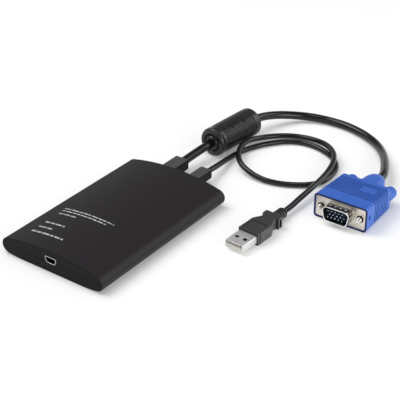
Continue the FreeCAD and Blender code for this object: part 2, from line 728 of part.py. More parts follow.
def build_lead(lead, x):
    """The board header of a lead, and the stretch of the lead between it and its boot."""
    width = f"{lead}_boot_width"
    front = f"{HEADER_BACK}-header_length"
    slot_floor = f"{BOARD_TOP}+header_height-header_slot_depth"
    housing = block(f"{lead}_header_block", x, front, BOARD_TOP, width, "header_length", "header_height")
    slot = block(f"{lead}_header_slot", x, front, slot_floor, f"{width}-2*header_wall", "header_slot_length",
                 "header_height")
    node(cut(f"{lead}_header", housing, [slot]), f"{lead}_header")
    radius = f"{lead}_inner_diameter/2"
    level = f"{BOARD_TOP}+{radius}+press_gap"
    wires = rod(f"{lead}_inner_lead", x, HEADER_BACK, level, radius, "header_setback")
    node(wires, f"{lead}_inner_lead")


# VGA plug


VGA_Z = "hood_height/2"
HOOD_BACK = "(vga_front+hood_length)"
FLANGE_FRONT = "(vga_front+flange_recess)"
FLANGE_BACK = "(vga_front+flange_recess+flange_thickness)"
INSULATOR_FRONT = f"({FLANGE_FRONT}-insulator_proud)"
GROOVES = 9
RELIEF_SHAPE = ((0, 0), (0.4, 0.06), (0.7, 0.24), (0.9, 0.6), (1, 1))
PIN_ROWS = 3
PINS_IN_ROW = 5
ROW_SHIFT = 0.25
DIMPLES = 4
JACKS = {"left": "vga_x-jack_spacing/2", "right": "vga_x+jack_spacing/2"}
COLLAR_FRONT = f"({FLANGE_BACK}+jack_float)"
COLLAR_BACK = f"({COLLAR_FRONT}+jack_collar_length)"


def d_corners(inset):
    """The D outline of the shroud, wide side up."""
    half = f"(shroud_width/2-{inset})"
    foot = f"(shroud_width/2-shroud_slant-{inset})"
    low, high = f"{VGA_Z}-shroud_height/2+{inset}", f"{VGA_Z}+shroud_height/2-{inset}"
    return [(f"vga_x-{foot}", low), (f"vga_x+{foot}", low), (f"vga_x+{half}", high), (f"vga_x-{half}", high)]


def hood_loft(name, inset):
    front = rectangle("vga_x", VGA_Z, f"hood_width-2*{inset}", f"hood_height-2*{inset}")
    rear = rectangle("vga_x", VGA_Z, f"hood_rear_width-2*{inset}", f"hood_rear_height-2*{inset}")
    return loft_y(name, [("vga_front", front, "hood_radius"), (HOOD_BACK, rear, "hood_radius")])


def grip_grooves():
    """Rings cut round the hood, which leave a smooth patch on its top, and the pit in each side."""
    slabs = []
    for index in range(GROOVES):
        y = f"vga_front+groove_start+{index}*groove_pitch"
        slabs.append(block("groove_slab", "vga_x", y, "-groove_depth", "hood_width+2*overshoot",
                           "groove_width", "hood_height+2*groove_depth"))
    slabs.append(cross_rod("side_pits", "vga_x", "vga_front+side_pit_place", f"{VGA_Z}+side_pit_lift",
                           "side_pit_radius", "hood_width+2*overshoot"))
    patch = block("hood_patch", "vga_x+patch_offset", "vga_front+patch_start", VGA_Z, "patch_width",
                  "patch_length", "hood_height")
    return cut("groove_rings", join("groove_slabs", slabs), [hood_loft("hood_core", "groove_depth"), patch])


def hood_relief():
    """The strain relief behind the hood: a rounded block that closes on the cord like a dome."""
    sections = []
    for along, narrowing in RELIEF_SHAPE:
        width = f"(relief_width-{narrowing}*(relief_width-relief_end_width))"
        height = f"(relief_height-{narrowing}*(relief_height-relief_end_width))"
        radius = f"(relief_radius-{narrowing}*(relief_radius-relief_end_radius))"
        y = f"{HOOD_BACK}-hood_rim+{along}*(relief_length+hood_rim)"
        sections.append((y, rectangle("vga_x", VGA_Z, width, height), radius))
    return loft_y("hood_relief", sections, straight=False)


def build_hood():
    blank = join("hood_blank", [hood_loft("hood_form", "0"), hood_relief()])
    seat = rectangle("vga_x", VGA_Z, "hood_width-2*hood_rim", "hood_height-2*hood_rim")
    tools = [
        grip_grooves(),
        prism_y("flange_seat", seat, "vga_front-overshoot", "flange_recess+flange_thickness+overshoot",
                "flange_radius"),
        prism_y("insulator_seat", d_corners("shroud_metal"), "vga_front",
                "flange_recess-insulator_proud+insulator_depth", "shroud_radius-shroud_metal"),
    ]
    for side, x in JACKS.items():
        tools.append(rod(f"{side}_jack_bore", x, "vga_front", VGA_Z, "jack_radius+jack_clearance",
                         "hood_length+overshoot"))
        tools.append(rod(f"{side}_collar_room", x, "vga_front", VGA_Z, "jack_collar_radius+jack_clearance",
                         f"{COLLAR_BACK}+jack_float-vga_front"))
    node(cut("vga_hood", blank, tools), "vga_hood")


def shroud_dimples():
    """Balls that press a row of dimples into the top and the underside of the shroud."""
    balls = []
    reach = "(shroud_height/2+dimple_radius-dimple_depth)"
    y = f"{FLANGE_FRONT}-shroud_depth+dimple_place"
    for index in range(DIMPLES):
        x = f"vga_x+{index - (DIMPLES - 1) / 2}*dimple_pitch"
        for sign in "+-":
            balls.append(ball("dimple_ball", x, y, f"{VGA_Z}{sign}{reach}", "dimple_radius"))
    return balls


def build_front_shell():
    flange = prism_y("flange_plate",
                     rectangle("vga_x", VGA_Z, "hood_width-2*hood_rim", "hood_height-2*hood_rim"),
                     FLANGE_FRONT, "flange_thickness", "flange_radius")
    shroud = prism_y("shroud_outside", d_corners("0"), f"{FLANGE_FRONT}-shroud_depth",
                     "shroud_depth+flange_thickness/2", "shroud_radius")
    tools = [prism_y("shroud_inside", d_corners("shroud_metal"), f"{FLANGE_FRONT}-shroud_depth-overshoot",
                     "shroud_depth+flange_thickness+2*overshoot", "shroud_radius-shroud_metal")]
    for side, x in JACKS.items():
        tools.append(rod(f"{side}_flange_hole", x, "vga_front", VGA_Z, "flange_hole_radius", "hood_length"))
    tools += shroud_dimples()
    node(cut("vga_front_shell", join("front_shell_blank", [flange, shroud]), tools), "vga_front_shell")


def build_contacts():
    node(prism_y("vga_insulator", d_corners("shroud_metal"), INSULATOR_FRONT, "insulator_depth",
                 "shroud_radius-shroud_metal"), "vga_insulator")
    tip = f"{INSULATOR_FRONT}-pin_length"
    pins = []
    for row in range(PIN_ROWS):
        shift = ROW_SHIFT if row == 1 else -ROW_SHIFT
        for column in range(PINS_IN_ROW):
            x = f"vga_x+{column - (PINS_IN_ROW - 1) / 2 + shift}*pin_pitch"
            z = f"{VGA_Z}+{row - (PIN_ROWS - 1) / 2}*pin_row_pitch"
            pin = turned_y("vga_pin", [
                ("0", tip), ("pin_radius-pin_bevel", tip), ("pin_radius", f"{tip}+pin_nose"),
                ("pin_radius", INSULATOR_FRONT), ("0", INSULATOR_FRONT)])
            place_at(pin, x, "0", z)
            pins.append(pin)
    node(group("vga_pins", pins), "vga_pins")


def build_jack(side, x):
    """A thumbscrew: a steel screw kept in the hood by its collar, and its moulded knob."""
    tip = f"{FLANGE_FRONT}-jack_reach"
    neck = f"{FLANGE_FRONT}-jack_neck_gap"
    root = f"({HOOD_BACK}+jack_play)"
    end = f"{root}+knob_socket"
    screw = turned_y(f"{side}_screw", [
        ("0", tip), ("jack_tip_radius-jack_bevel", tip), ("jack_tip_radius", f"{tip}+jack_bevel"),
        ("jack_tip_radius", neck), ("jack_neck_radius", neck), ("jack_neck_radius", COLLAR_FRONT),
        ("jack_collar_radius", COLLAR_FRONT), ("jack_collar_radius", COLLAR_BACK),
        ("jack_radius", COLLAR_BACK), ("jack_radius", end), ("0", end)])
    socket = "jack_radius+press_gap"
    far = f"{root}+knob_length"
    knob = turned_y(f"{side}_knob", [
        (socket, root), ("knob_radius", root), ("knob_radius", far), ("0", far), ("0", end), (socket, end)])
    round_edges(knob, "knob_end_radius", lies_at("Y", far))
    for piece in (screw, knob):
        place_at(piece, x, "0", VGA_Z)
        node(piece, piece.Name)


# USB plug, drawn about its own axis with its mouth at the origin, then laid in its place


USB_Z = "grip_height/2"
GRIP_FRONT = "usb_exposed"
GRIP_SHOULDER = f"({GRIP_FRONT}+grip_length)"
NECK_START = f"({GRIP_SHOULDER}+grip_taper)"
WING_START = f"({NECK_START}+neck_length)"
WING_END = f"({WING_START}+wing_length)"
TAIL_END = f"({WING_END}+tail_length)"
SHELL_LENGTH = "(usb_exposed+usb_buried)"
USB_CONTACTS = ("-contact_outer", "-contact_inner", "contact_inner", "contact_outer")
TAIL_GROOVES = 3


def lay_usb(piece):
    """Puts a finished piece of the plug where the plug lies, slightly turned."""
    piece.Placement.Rotation = FreeCAD.Rotation(UP, -size("usb_turn"))
    bind(piece, "Placement.Rotation.Angle", "-usb_turn")
    place_at(piece, "usb_x", "usb_front")
    return piece


def usb_axis(along):
    """The point of the plug's axis at a distance behind its mouth, as it lies."""
    turn = math.radians(size("usb_turn"))
    reach = size(along)
    return (size("usb_x") + reach * math.sin(turn), size("usb_front") + reach * math.cos(turn), size(USB_Z))


def grip_outline():
    """Plan of the grip: full width, tapered to a neck, then the finger wings."""
    right = [("grip_width/2", GRIP_FRONT), ("grip_width/2", GRIP_SHOULDER), ("neck_width/2", NECK_START),
             ("neck_width/2", WING_START), ("wing_width/2", WING_START), ("wing_width/2", WING_END)]
    return right + [(f"-{half}", y) for half, y in reversed(right)]


def side_cuts():
    """The slot in each finger wing and the upright groove in each side of the grip."""
    cuts = []
    for sign in ("-", ""):
        wing = f"{WING_START}+(wing_length-wing_slot)/2"
        cuts.append(block("wing_slot", f"{sign}wing_width/2", wing, "-wing_roof", "2*wing_slot_depth",
                          "wing_slot", "grip_height"))
        cuts.append(block("grip_side_groove", f"{sign}grip_width/2", f"{GRIP_FRONT}+side_groove_place",
                          "-overshoot", "2*side_groove_depth", "side_groove", "grip_height+2*overshoot"))
    return cuts


def top_cuts():
    """The sunk panel on top of the grip and the step behind it."""
    length = "(grip_length-2*panel_inset)"
    panel = rectangle("0", f"({GRIP_FRONT}+grip_length/2)", "grip_width-2*panel_inset", length)
    start = f"{GRIP_SHOULDER}+step_place"
    step_length = "grip_taper-step_place+neck_length+wing_length+overshoot"
    return [
        prism_z("grip_panel", panel, "grip_height-panel_depth", "overshoot", "panel_radius"),
        block("grip_step", "0", start, "grip_height-step_depth", "grip_width", step_length, "grip_height"),
    ]


def ringed_tail():
    """The turned strain relief behind the wings."""
    root = f"{WING_END}-overshoot"
    body = turned_y("usb_tail_form", [
        ("0", root), ("tail_radius", root), ("tail_radius", f"{TAIL_END}-tail_tip"),
        ("tail_end_radius", TAIL_END), ("0", TAIL_END)])
    place_at(body, "0", "0", USB_Z)
    rings = []
    for index in range(TAIL_GROOVES):
        y = f"{WING_END}+tail_groove_start+{index}*tail_groove_pitch"
        outer = rod("tail_ring", "0", y, USB_Z, "tail_radius+overshoot", "tail_groove")
        inner = rod("tail_core", "0", y, USB_Z, "tail_radius-tail_groove_depth", "tail_groove")
        rings.append(cut("tail_groove_ring", outer, [inner]))
    return cut("usb_tail", body, rings)


def build_usb_grip():
    grip = prism_z("usb_grip_form", grip_outline(), "0", "grip_height", "grip_corner_radius")
    faces = (lies_at("Z", "0"), lies_at("Z", "grip_height"))
    round_edges(grip, "grip_edge_radius", lambda edge: any(face(edge) for face in faces))
    pocket = prism_y("shell_pocket", rectangle("0", USB_Z, "usb_width", "usb_height"), "0", SHELL_LENGTH,
                     "usb_radius")
    shaped = cut("usb_grip_shaped", grip, side_cuts() + top_cuts() + [pocket])
    node(lay_usb(join("usb_grip", [shaped, ringed_tail()])), "usb_grip")


def build_usb_shell():
    outline = rectangle("0", USB_Z, "usb_width", "usb_height")
    outside = prism_y("usb_shell_outside", outline, "0", SHELL_LENGTH, "usb_radius")
    room = rectangle("0", USB_Z, "usb_width-2*usb_metal", "usb_height-2*usb_metal")
    tools = [prism_y("usb_shell_inside", room, "-overshoot", f"{SHELL_LENGTH}+2*overshoot", "usb_radius/2")]
    for x in ("-latch_spacing/2", "latch_spacing/2"):
        tools.append(block("latch_hole_cut", x, "latch_setback-latch_hole/2", "0", "latch_hole", "latch_hole",
                           "grip_height"))
    node(lay_usb(cut("usb_shell", outside, tools)), "usb_shell")


def build_usb_tray():
    floor = f"({USB_Z}-usb_height/2+usb_metal)"
    width = "usb_width-2*usb_metal"
    room_height = "usb_height-2*usb_metal"
    tray = block("usb_tray", "0", "tray_setback", floor, width, f"{SHELL_LENGTH}-tray_setback", "tray_height")
    plug = block("usb_tray_back", "0", GRIP_FRONT, floor, width, "usb_buried", room_height)
    edge_trim = prism_y("usb_tray_room", rectangle("0", USB_Z, width, room_height), "0", SHELL_LENGTH,
                        "usb_radius/2")
    tray_and_back = join("usb_tray_blank", [tray, plug])
    node(lay_usb(overlap("usb_insulator", tray_and_back, edge_trim)), "usb_insulator")
    strips = []
    for x in USB_CONTACTS:
        strips.append(block("usb_contact", x, "tray_setback+contact_setback", f"{floor}+tray_height",
                            "contact_width", "contact_length", "contact_thickness"))
    node(lay_usb(group("usb_contacts", strips)), "usb_contacts")


# Cords and the ferrite


ARC_SHARE = 0.45
OVER_RADII = 4.4


def vga_route():
    """Hand-chosen points of the VGA cord, from its boot through the ferrite to the plug."""
    lying = size("vga_cord_diameter/2")
    ferrite = size("sleeve_diameter/2")
    plug = size(VGA_Z)
    return [
        (size("-boot_offset"), size(f"{CABLE_FACE}+vga_boot_reach"), size("boot_height")),
        (-9.2, 82, 7), (-8.3, 88.6, 8.5), (-7.2, 94.5, ferrite), (-5.9, 111.4, ferrite),
        (-4.5, 129.4, ferrite), (-3.1, 146.3, ferrite), (1.2, 158.4, 7.6), (8.4, 169.6, 5.2),
        (19.4, 178.6, 3.3), (33, 181.9, lying), (46.8, 181.3, lying), (60.8, 177, lying), (73, 169.6, 2.9),
        (82.9, 158.8, 4), (89.9, 147.4, 5.6), (95.4, 136.4, 6.8), (98.4, 128.6, 7.4),
        (size("vga_x"), size(f"{HOOD_BACK}+relief_length"), plug),
    ]


def usb_route():
    """Hand-chosen points of the USB cord: out of its boot, nearly twice round a loose loop, to the plug."""
    lying = size("usb_cord_diameter/2")
    over = OVER_RADII * lying
    return [
        (size("boot_offset"), size(f"{CABLE_FACE}+usb_boot_reach"), size("boot_height")),
        (9.5, 79, 5.8), (8.6, 87.9, 4.4), (7.2, 99.1, 2.6), (6.6, 109, lying), (8, 117.4, lying),
        (11.4, 126.6, lying), (17, 135.4, lying), (23.6, 142, lying), (31.6, 145.4, lying),
        (41.1, 145.6, lying), (50.6, 142.4, lying), (59.4, 137, lying), (66.2, 129.4, lying),
        (69.6, 119.8, lying), (69.4, 110.6, lying), (64.4, 102.2, lying), (54.8, 96, lying),
        (45, 92, lying), (35.6, 90.8, 2.6), (26.7, 91.8, 4.4),
        (18.5, 95.2, 6.4), (12.3, 102.2, over), (7.4, 111.6, over), (4.8, 122.6, 5.4), (6.9, 134.5, 2.8),
        (11.9, 143, lying), (19, 149, lying), (27, 152.6, lying), (36.8, 153.2, 2.4), (47.4, 149.4, 4.2),
        (56.3, 142.2, 6.6), (62.2, 134, over), (65.9, 124.2, over), (68.2, 113, over), (69.4, 100.6, over),
        (69.6, 88.6, 5.6), (69.5, 79.5, 4.3), usb_axis(f"{TAIL_END}+tail_run"), usb_axis(TAIL_END),
    ]


def rounded_path(route):
    """Straight runs joined by tangent arcs as large as the runs allow, and the arcs' radii."""
    points = [Vector(*point) for point in route]
    edges, radii = [], []
    here = points[0]
    for before, corner, after in zip(points, points[1:], points[2:]):
        back = before - corner
        ahead = after - corner
        tangent = ARC_SHARE * min(back.Length, ahead.Length)
        half_turn = (math.pi - back.getAngle(ahead)) / 2
        radius = tangent / math.tan(half_turn)
        first = corner + back.normalize() * tangent
        second = corner + ahead.normalize() * tangent
        inward = (back + ahead).normalize()
        middle = corner + inward * (radius / math.cos(half_turn) - radius)
        edges.append(Part.LineSegment(here, first).toShape())
        edges.append(Part.Arc(first, middle, second).toShape())
        radii.append(radius)
        here = second
    edges.append(Part.LineSegment(here, points[-1]).toShape())
    return Part.Wire(edges), radii


def build_cord(name, route, diameter):
    """A plain round tube along a route."""
    path, radii = rounded_path(route)
    radius = size(diameter) / 2
    start = Vector(*route[0])
    ring = Part.Wire([Part.Circle(start, Vector(*route[1]) - start, radius).toShape()])
    tube = path.makePipeShell([ring], True, False)
    cord = doc.addObject("Part::Feature", name)
    cord.Shape = tube
    expected = math.pi * radius ** 2 * path.Length
    print(f"{name}: length {path.Length:.1f}, volume {tube.Volume:.1f} of {expected:.1f}")
    print(f"{name}: radii {[round(value, 1) for value in radii]}")
    node(cord, name)


RIBS = 16
BAND_LEAN = 13
QUARTER_TURN = 90
SLOT_TURN = 43
SLOT_RISE = 51
PITS = 2
PIT_LEAN = 38


def sleeve_form():
    """The turned sleeve along +Y from its near end, with a dished end and a bead round the cord."""
    bore = "vga_cord_diameter/2+fit_gap"
    outer = "sleeve_diameter/2"
    body = turned_y("sleeve_form", [
        (bore, "-bead_proud"), ("bead_radius-bead_slope", "-bead_proud"), ("bead_radius", "0"),
        ("bead_radius+bead_slope", "sleeve_dish"), (f"{outer}-sleeve_rim-sleeve_near_radius", "0"),
        (outer, "0"), (outer, "sleeve_length"), (bore, "sleeve_length")])
    far, near = size("sleeve_length"), 0.0
    reach = size("sleeve_diameter/2")

    def on_rim(edge, level):
        return lies_at("Y", level)(edge) and abs(edge.BoundBox.XMax - reach) < TOUCHING

    round_edges(body, "sleeve_end_radius", lambda edge: on_rim(edge, far))
    round_edges(body, "sleeve_near_radius", lambda edge: on_rim(edge, near))
    return body


def rib_comb():
    """The cutter of the ring grooves: a comb turned about the axis."""
    outer = "sleeve_diameter/2"
    root, spine, back = f"{outer}-rib_depth", f"{outer}+overshoot", f"{outer}+2*overshoot"
    teeth = []
    for index in range(RIBS):
        low = f"rib_start+{index}*rib_pitch"
        high = f"{low}+rib_groove"
        teeth += [(spine, low), (root, low), (root, high), (spine, high)]
    first, last = "rib_start-rib_groove", f"rib_start+{RIBS}*rib_pitch"
    return turned_y("rib_comb", [(back, first), (spine, first)] + teeth + [(spine, last), (back, last)])


def smooth_band():
    """The strip that lies over the ring grooves, a little proud of the ribs."""
    floor, top = "sleeve_diameter/2-2*rib_depth", "sleeve_diameter/2+band_proud"
    first, last = "rib_start-rib_groove", f"rib_start+{RIBS}*rib_pitch"
    angle = math.degrees(size("band_width/(sleeve_diameter/2)"))
    strip = turned_y("sleeve_band", [(floor, first), (top, first), (top, last), (floor, last)], angle)
    strip.Placement.Rotation = FreeCAD.Rotation(Vector(0, 1, 0), BAND_LEAN - QUARTER_TURN - angle / 2)
    return strip


def sleeve_cutters():
    """A curved slot, two pits and the core's chamber."""
    outer = "sleeve_diameter/2"
    floor, mouth = f"{outer}-slot_depth", f"{outer}+overshoot"
    low, high = "slot_place", "slot_place+slot_width"
    slot = turned_y("collar_slot", [(floor, low), (mouth, low), (mouth, high), (floor, high)], SLOT_TURN)
    slot.Placement.Rotation = FreeCAD.Rotation(Vector(0, 1, 0), -SLOT_RISE)
    tools = [slot]
    for index in range(PITS):
        pit = post("sleeve_pit", "0", f"pit_start+{index}*pit_pitch", f"{outer}-pit_depth", "pit_radius",
                   "pit_depth+overshoot")
        drill = group("pit_drill", [pit])
        drill.Placement.Rotation = FreeCAD.Rotation(Vector(0, 1, 0), PIT_LEAN)
        tools.append(drill)
    tools.append(rod("core_chamber", "0", "(sleeve_length-core_length)/2", "0", "core_diameter/2+press_gap",
                     "core_length"))
    return tools


def build_ferrite():
    """The sleeve and its core, threaded on the straight stretch of the VGA cord."""
    ribbed = cut("ribbed_sleeve", sleeve_form(), [rib_comb()])
    banded = join("banded_sleeve", [ribbed, smooth_band()])
    sleeve = node(cut("ferrite_sleeve", banded, sleeve_cutters()), "ferrite_sleeve")
    whole = rod("core_outside", "0", "(sleeve_length-core_length)/2", "0", "core_diameter/2", "core_length")
    bore = rod("core_bore", "0", "0", "0", "vga_cord_diameter/2+fit_gap", "sleeve_length")
    core = node(cut("ferrite_core", whole, [bore]), "ferrite_core")
    route = vga_route()
    first, last = Vector(*route[4]), Vector(*route[5])
    heading = math.degrees(math.atan2(last.x - first.x, last.y - first.y))
    middle = (first + last) * 0.5
    turn = FreeCAD.Rotation(UP, -heading)
    start = middle - turn.multVec(Vector(0, size("sleeve_length") / 2, 0))
    for piece in (sleeve, core):
        piece.Placement = FreeCAD.Placement(start, turn)


# Whole model


def check_and_write():
    doc.recompute()
    failed = [thing.Label for thing in doc.Objects if {"Invalid", "Error"} & set(thing.State)]
    if failed:
        raise RuntimeError(f"failed objects: {failed}")
    solids = [thing for thing in doc.Objects if thing.isDerivedFrom("Part::Feature") and thing.Shape.Solids]
    bad = [thing.Label for thing in solids if not thing.Shape.isValid()]
    bad += [thing.Label for thing in nodes if thing.Shape.isNull() or thing.Shape.Volume <= 0]
    if bad:
        raise RuntimeError(f"bad shapes: {bad}")
    os.makedirs("parts", exist_ok=True)
    for thing in nodes:
        thing.Shape.exportStep(f"parts/{thing.Label}.step")
    print(f"{len(nodes)} sub-parts written")


def main():
    fill_sheet()
    build_case()
    build_board()
    build_components()
    build_port()
    for lead, x in BOOTS.items():
        build_boot(lead, x)
        build_lead(lead, x)
    build_hood()
    build_front_shell()
    build_contacts()
    for side, x in JACKS.items():
        build_jack(side, x)
    build_usb_grip()
    build_usb_shell()
    build_usb_tray()
    build_ferrite()
    build_cord("vga_cord", vga_route(), "vga_cord_diameter")
    build_cord("usb_cord", usb_route(), "usb_cord_diameter")
    check_and_write()


main()
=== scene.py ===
"""Looks of the crash cart adapter: camera, studio, cords, finishes, screw threads and printed lines."""
import json
import math
import random

import bmesh
import bpy
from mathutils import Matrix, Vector
from mathutils.bvhtree import BVHTree


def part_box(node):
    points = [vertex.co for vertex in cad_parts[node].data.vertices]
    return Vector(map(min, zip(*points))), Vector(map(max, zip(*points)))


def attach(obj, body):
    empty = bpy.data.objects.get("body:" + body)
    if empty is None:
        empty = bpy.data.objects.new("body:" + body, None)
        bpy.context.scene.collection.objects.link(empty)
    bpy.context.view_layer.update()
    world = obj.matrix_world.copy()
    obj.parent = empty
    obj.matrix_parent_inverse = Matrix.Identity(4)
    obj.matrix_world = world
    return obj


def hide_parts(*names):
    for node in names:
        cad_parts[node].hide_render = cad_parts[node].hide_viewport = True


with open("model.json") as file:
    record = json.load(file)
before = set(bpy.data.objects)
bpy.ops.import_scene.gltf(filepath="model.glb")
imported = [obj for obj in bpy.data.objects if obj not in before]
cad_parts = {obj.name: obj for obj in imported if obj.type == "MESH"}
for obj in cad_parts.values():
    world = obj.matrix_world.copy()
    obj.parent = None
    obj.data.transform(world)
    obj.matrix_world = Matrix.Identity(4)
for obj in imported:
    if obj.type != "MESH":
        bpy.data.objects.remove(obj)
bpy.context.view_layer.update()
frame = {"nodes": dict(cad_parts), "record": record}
NODES = frame["nodes"]
BODY = "adapter"
MM = 0.001

# Camera

TARGET = Vector((0.0193, 0.0523, 0))
AZIMUTH = math.radians(35.877)
ELEVATION = math.radians(30.675)
DISTANCE = 0.6623
LENS = 101.72
SENSOR = 36


def add_camera():
    data = bpy.data.cameras.new("camera")
    data.lens = LENS
    data.sensor_width = SENSOR
    camera = bpy.data.objects.new("camera", data)
    bpy.context.scene.collection.objects.link(camera)
    level = math.cos(ELEVATION)
    back = Vector((math.sin(AZIMUTH) * level, -math.cos(AZIMUTH) * level, math.sin(ELEVATION)))
    camera.location = TARGET + back * DISTANCE
    camera.rotation_mode = "QUATERNION"
    camera.rotation_quaternion = (-back).to_track_quat("-Z", "Y")
    bpy.context.scene.camera = camera


# Node trees

NOISE_DETAIL = 3
EVEN = (1, 1, 1)
EDGE = 0.15 * MM
EDGE_SAMPLES = 4
NOISE_LOW = 0.3
NOISE_HIGH = 0.7
OPEN_SKY = 0.85
CLOSED_SKY = 0.35
ACROSS_Y = (1, 0, 1)
LINE_FADE = 0.95
WHITE = (1, 1, 1, 1)
# The mix node has several sockets of one name, so its colours go by number
MIX_COLOURS = (6, 7)
MIX_RESULT = 2


class Finish:
    """One procedural material on the principled shader, with textures in the frame's own metres."""

    def __init__(self, name, **sockets):
        self.material = bpy.data.materials.new(name)
        self.material.use_nodes = True
        self.tree = self.material.node_tree
        self.shader = self.tree.nodes["Principled BSDF"]
        for socket, value in sockets.items():
            self.shader.inputs[socket.replace("_", " ")].default_value = value
        self.place = self.add("ShaderNodeTexCoord").outputs["Object"]
        self.colour = None

    def add(self, kind, **settings):
        node = self.tree.nodes.new(kind)
        for name, value in settings.items():
            setattr(node, name, value)
        return node

    def link(self, source, target):
        self.tree.links.new(source, target)

    def feed(self, socket, source):
        self.link(source, self.shader.inputs[socket])

    def noise(self, grain, stretch=EVEN):
        """Noise with grains about this long in metres, longer along an axis with a stretch under 1."""
        mapping = self.add("ShaderNodeMapping")
        mapping.inputs["Scale"].default_value = [share / grain for share in stretch]
        self.link(self.place, mapping.inputs["Vector"])
        texture = self.add("ShaderNodeTexNoise")
        texture.inputs["Scale"].default_value = 1
        texture.inputs["Detail"].default_value = NOISE_DETAIL
        self.link(mapping.outputs["Vector"], texture.inputs["Vector"])
        return texture.outputs["Fac"]

    def between(self, factor, low, high):
        """Moves a factor from the usual range of noise to the range from low to high."""
        spread = self.add("ShaderNodeMapRange")
        spread.inputs["From Min"].default_value = NOISE_LOW
        spread.inputs["From Max"].default_value = NOISE_HIGH
        spread.inputs["To Min"].default_value = low
        spread.inputs["To Max"].default_value = high
        self.link(factor, spread.inputs["Value"])
        return spread.outputs["Result"]

    def mix(self, factor, first, second):
        """Colour from first to second, each a colour or an output of another node."""
        blend = self.add("ShaderNodeMix", data_type="RGBA")
        self.link(factor, blend.inputs["Factor"])
        for socket, colour in zip(MIX_COLOURS, (first, second)):
            if isinstance(colour, bpy.types.NodeSocket):
                self.link(colour, blend.inputs[socket])
            else:
                blend.inputs[socket].default_value = (*colour, 1)
        return blend.outputs[MIX_RESULT]

    def paint(self, colour):
        self.colour = colour
        self.feed("Base Color", colour)

    def stain(self, factor, colour):
        """Turns the colour painted so far towards another one."""
        self.paint(self.mix(factor, self.colour, colour))

    def axis(self, letter, source="Object"):
        """One coordinate of the place, or of the surface's normal."""
        split = self.add("ShaderNodeSeparateXYZ")
        self.link(self.place.node.outputs[source], split.inputs["Vector"])
        return split.outputs[letter]

    def step(self, value, start, end):
        """0 up to start, 1 from end on, which may be the lower of the two."""
        ramp = self.add("ShaderNodeMapRange")
        ramp.inputs["From Min"].default_value = start
        ramp.inputs["From Max"].default_value = end
        self.link(value, ramp.inputs["Value"])
        return ramp.outputs["Result"]

    def past(self, start, end):
        """0 up to start along Y, 1 from end on."""
        return self.step(self.axis("Y"), start, end)

    def facing(self, letter, start, end):
        """Up to 1 on faces that look either way along an axis, as their normal's share of it goes up."""
        share = self.add("ShaderNodeMath", operation="ABSOLUTE")
        self.link(self.axis(letter, "Normal"), share.inputs[0])
        return self.step(share.outputs["Value"], start, end)

    def both(self, first, second):
        """1 only where both are."""
        product = self.add("ShaderNodeMath", operation="MULTIPLY")
        self.link(first, product.inputs[0])
        self.link(second, product.inputs[1])
        return product.outputs["Value"]

    def near_line(self, centre, radius):
        """1 within this radius of a line along Y, 0 beyond it."""
        offset = self.add("ShaderNodeVectorMath", operation="SUBTRACT")
        offset.inputs[1].default_value = centre
        self.link(self.place, offset.inputs[0])
        across = self.add("ShaderNodeVectorMath", operation="MULTIPLY")
        across.inputs[1].default_value = ACROSS_Y
        self.link(offset.outputs["Vector"], across.inputs[0])
        distance = self.add("ShaderNodeVectorMath", operation="LENGTH")
        self.link(across.outputs["Vector"], distance.inputs[0])
        return self.step(distance.outputs["Value"], radius, LINE_FADE * radius)

    def rounded(self, radius):
        """Normal that rounds off the edges."""
        edge = self.add("ShaderNodeBevel", samples=EDGE_SAMPLES)
        edge.inputs["Radius"].default_value = radius
        return edge.outputs["Normal"]

    def crevice_shade(self, reach):
        """1 deep in grooves and pits about as narrow as this, 0 on open faces: the mask for painted shade
        in them.
        """
        open_sky = self.add("ShaderNodeAmbientOcclusion", samples=EDGE_SAMPLES, only_local=True)
        open_sky.inputs["Distance"].default_value = reach
        return self.step(open_sky.outputs["AO"], OPEN_SKY, CLOSED_SKY)

    def bump(self, height, depth, below):
        """Relief of that depth in metres, on top of another normal."""
        relief = self.add("ShaderNodeBump")
        relief.inputs["Distance"].default_value = depth
        self.link(height, relief.inputs["Height"])
        self.link(below, relief.inputs["Normal"])
        return relief.outputs["Normal"]


def shade(colour, share):
    return [channel * share for channel in colour]


# Moulded plastic and plated metal

CLOUD = 9 * MM
GLOSS_PATCH = 2.5 * MM
PLATE_CLOUD = 3 * MM
PLATE_DULL = 0.93
PLATE_LINES = 0.35 * MM
PLATE_RELIEF = 0.004 * MM
PLATE_UNEVEN = 0.07
ALONG_Y = (1, 0.06, 1)
ALONG_X = (0.06, 1, 1)


def moulded(name, colour, roughness, grain, relief, mottle=0.12, edge=EDGE, uneven=0.05, **sockets):
    """Plastic or rubber: slight mottling, uneven gloss, soft edges and a fine spark-eroded grain."""
    finish = Finish(name, **sockets)
    cloud = finish.between(finish.noise(CLOUD), 0, 1)
    finish.paint(finish.mix(cloud, shade(colour, 1 - mottle), shade(colour, 1 + mottle)))
    gloss = finish.noise(GLOSS_PATCH)
    finish.feed("Roughness", finish.between(gloss, roughness - uneven, roughness + uneven))
    finish.feed("Normal", finish.bump(finish.noise(grain), relief, finish.rounded(edge)))
    return finish


def plated(name, colour, roughness, stretch):
    """Plated sheet metal with the fine drawn lines of its rolling."""
    finish = Finish(name, Metallic=1.0)
    lines = finish.noise(PLATE_LINES, stretch=stretch)
    cloud = finish.between(finish.noise(PLATE_CLOUD), 0, 1)
    finish.paint(finish.mix(cloud, shade(colour, PLATE_DULL), colour))
    finish.feed("Roughness", finish.between(lines, roughness - PLATE_UNEVEN, roughness + PLATE_UNEVEN))
    finish.feed("Normal", finish.bump(lines, PLATE_RELIEF, finish.rounded(EDGE)))
    return finish


# Finishes: one for each material slot, and the ink of the printed lines

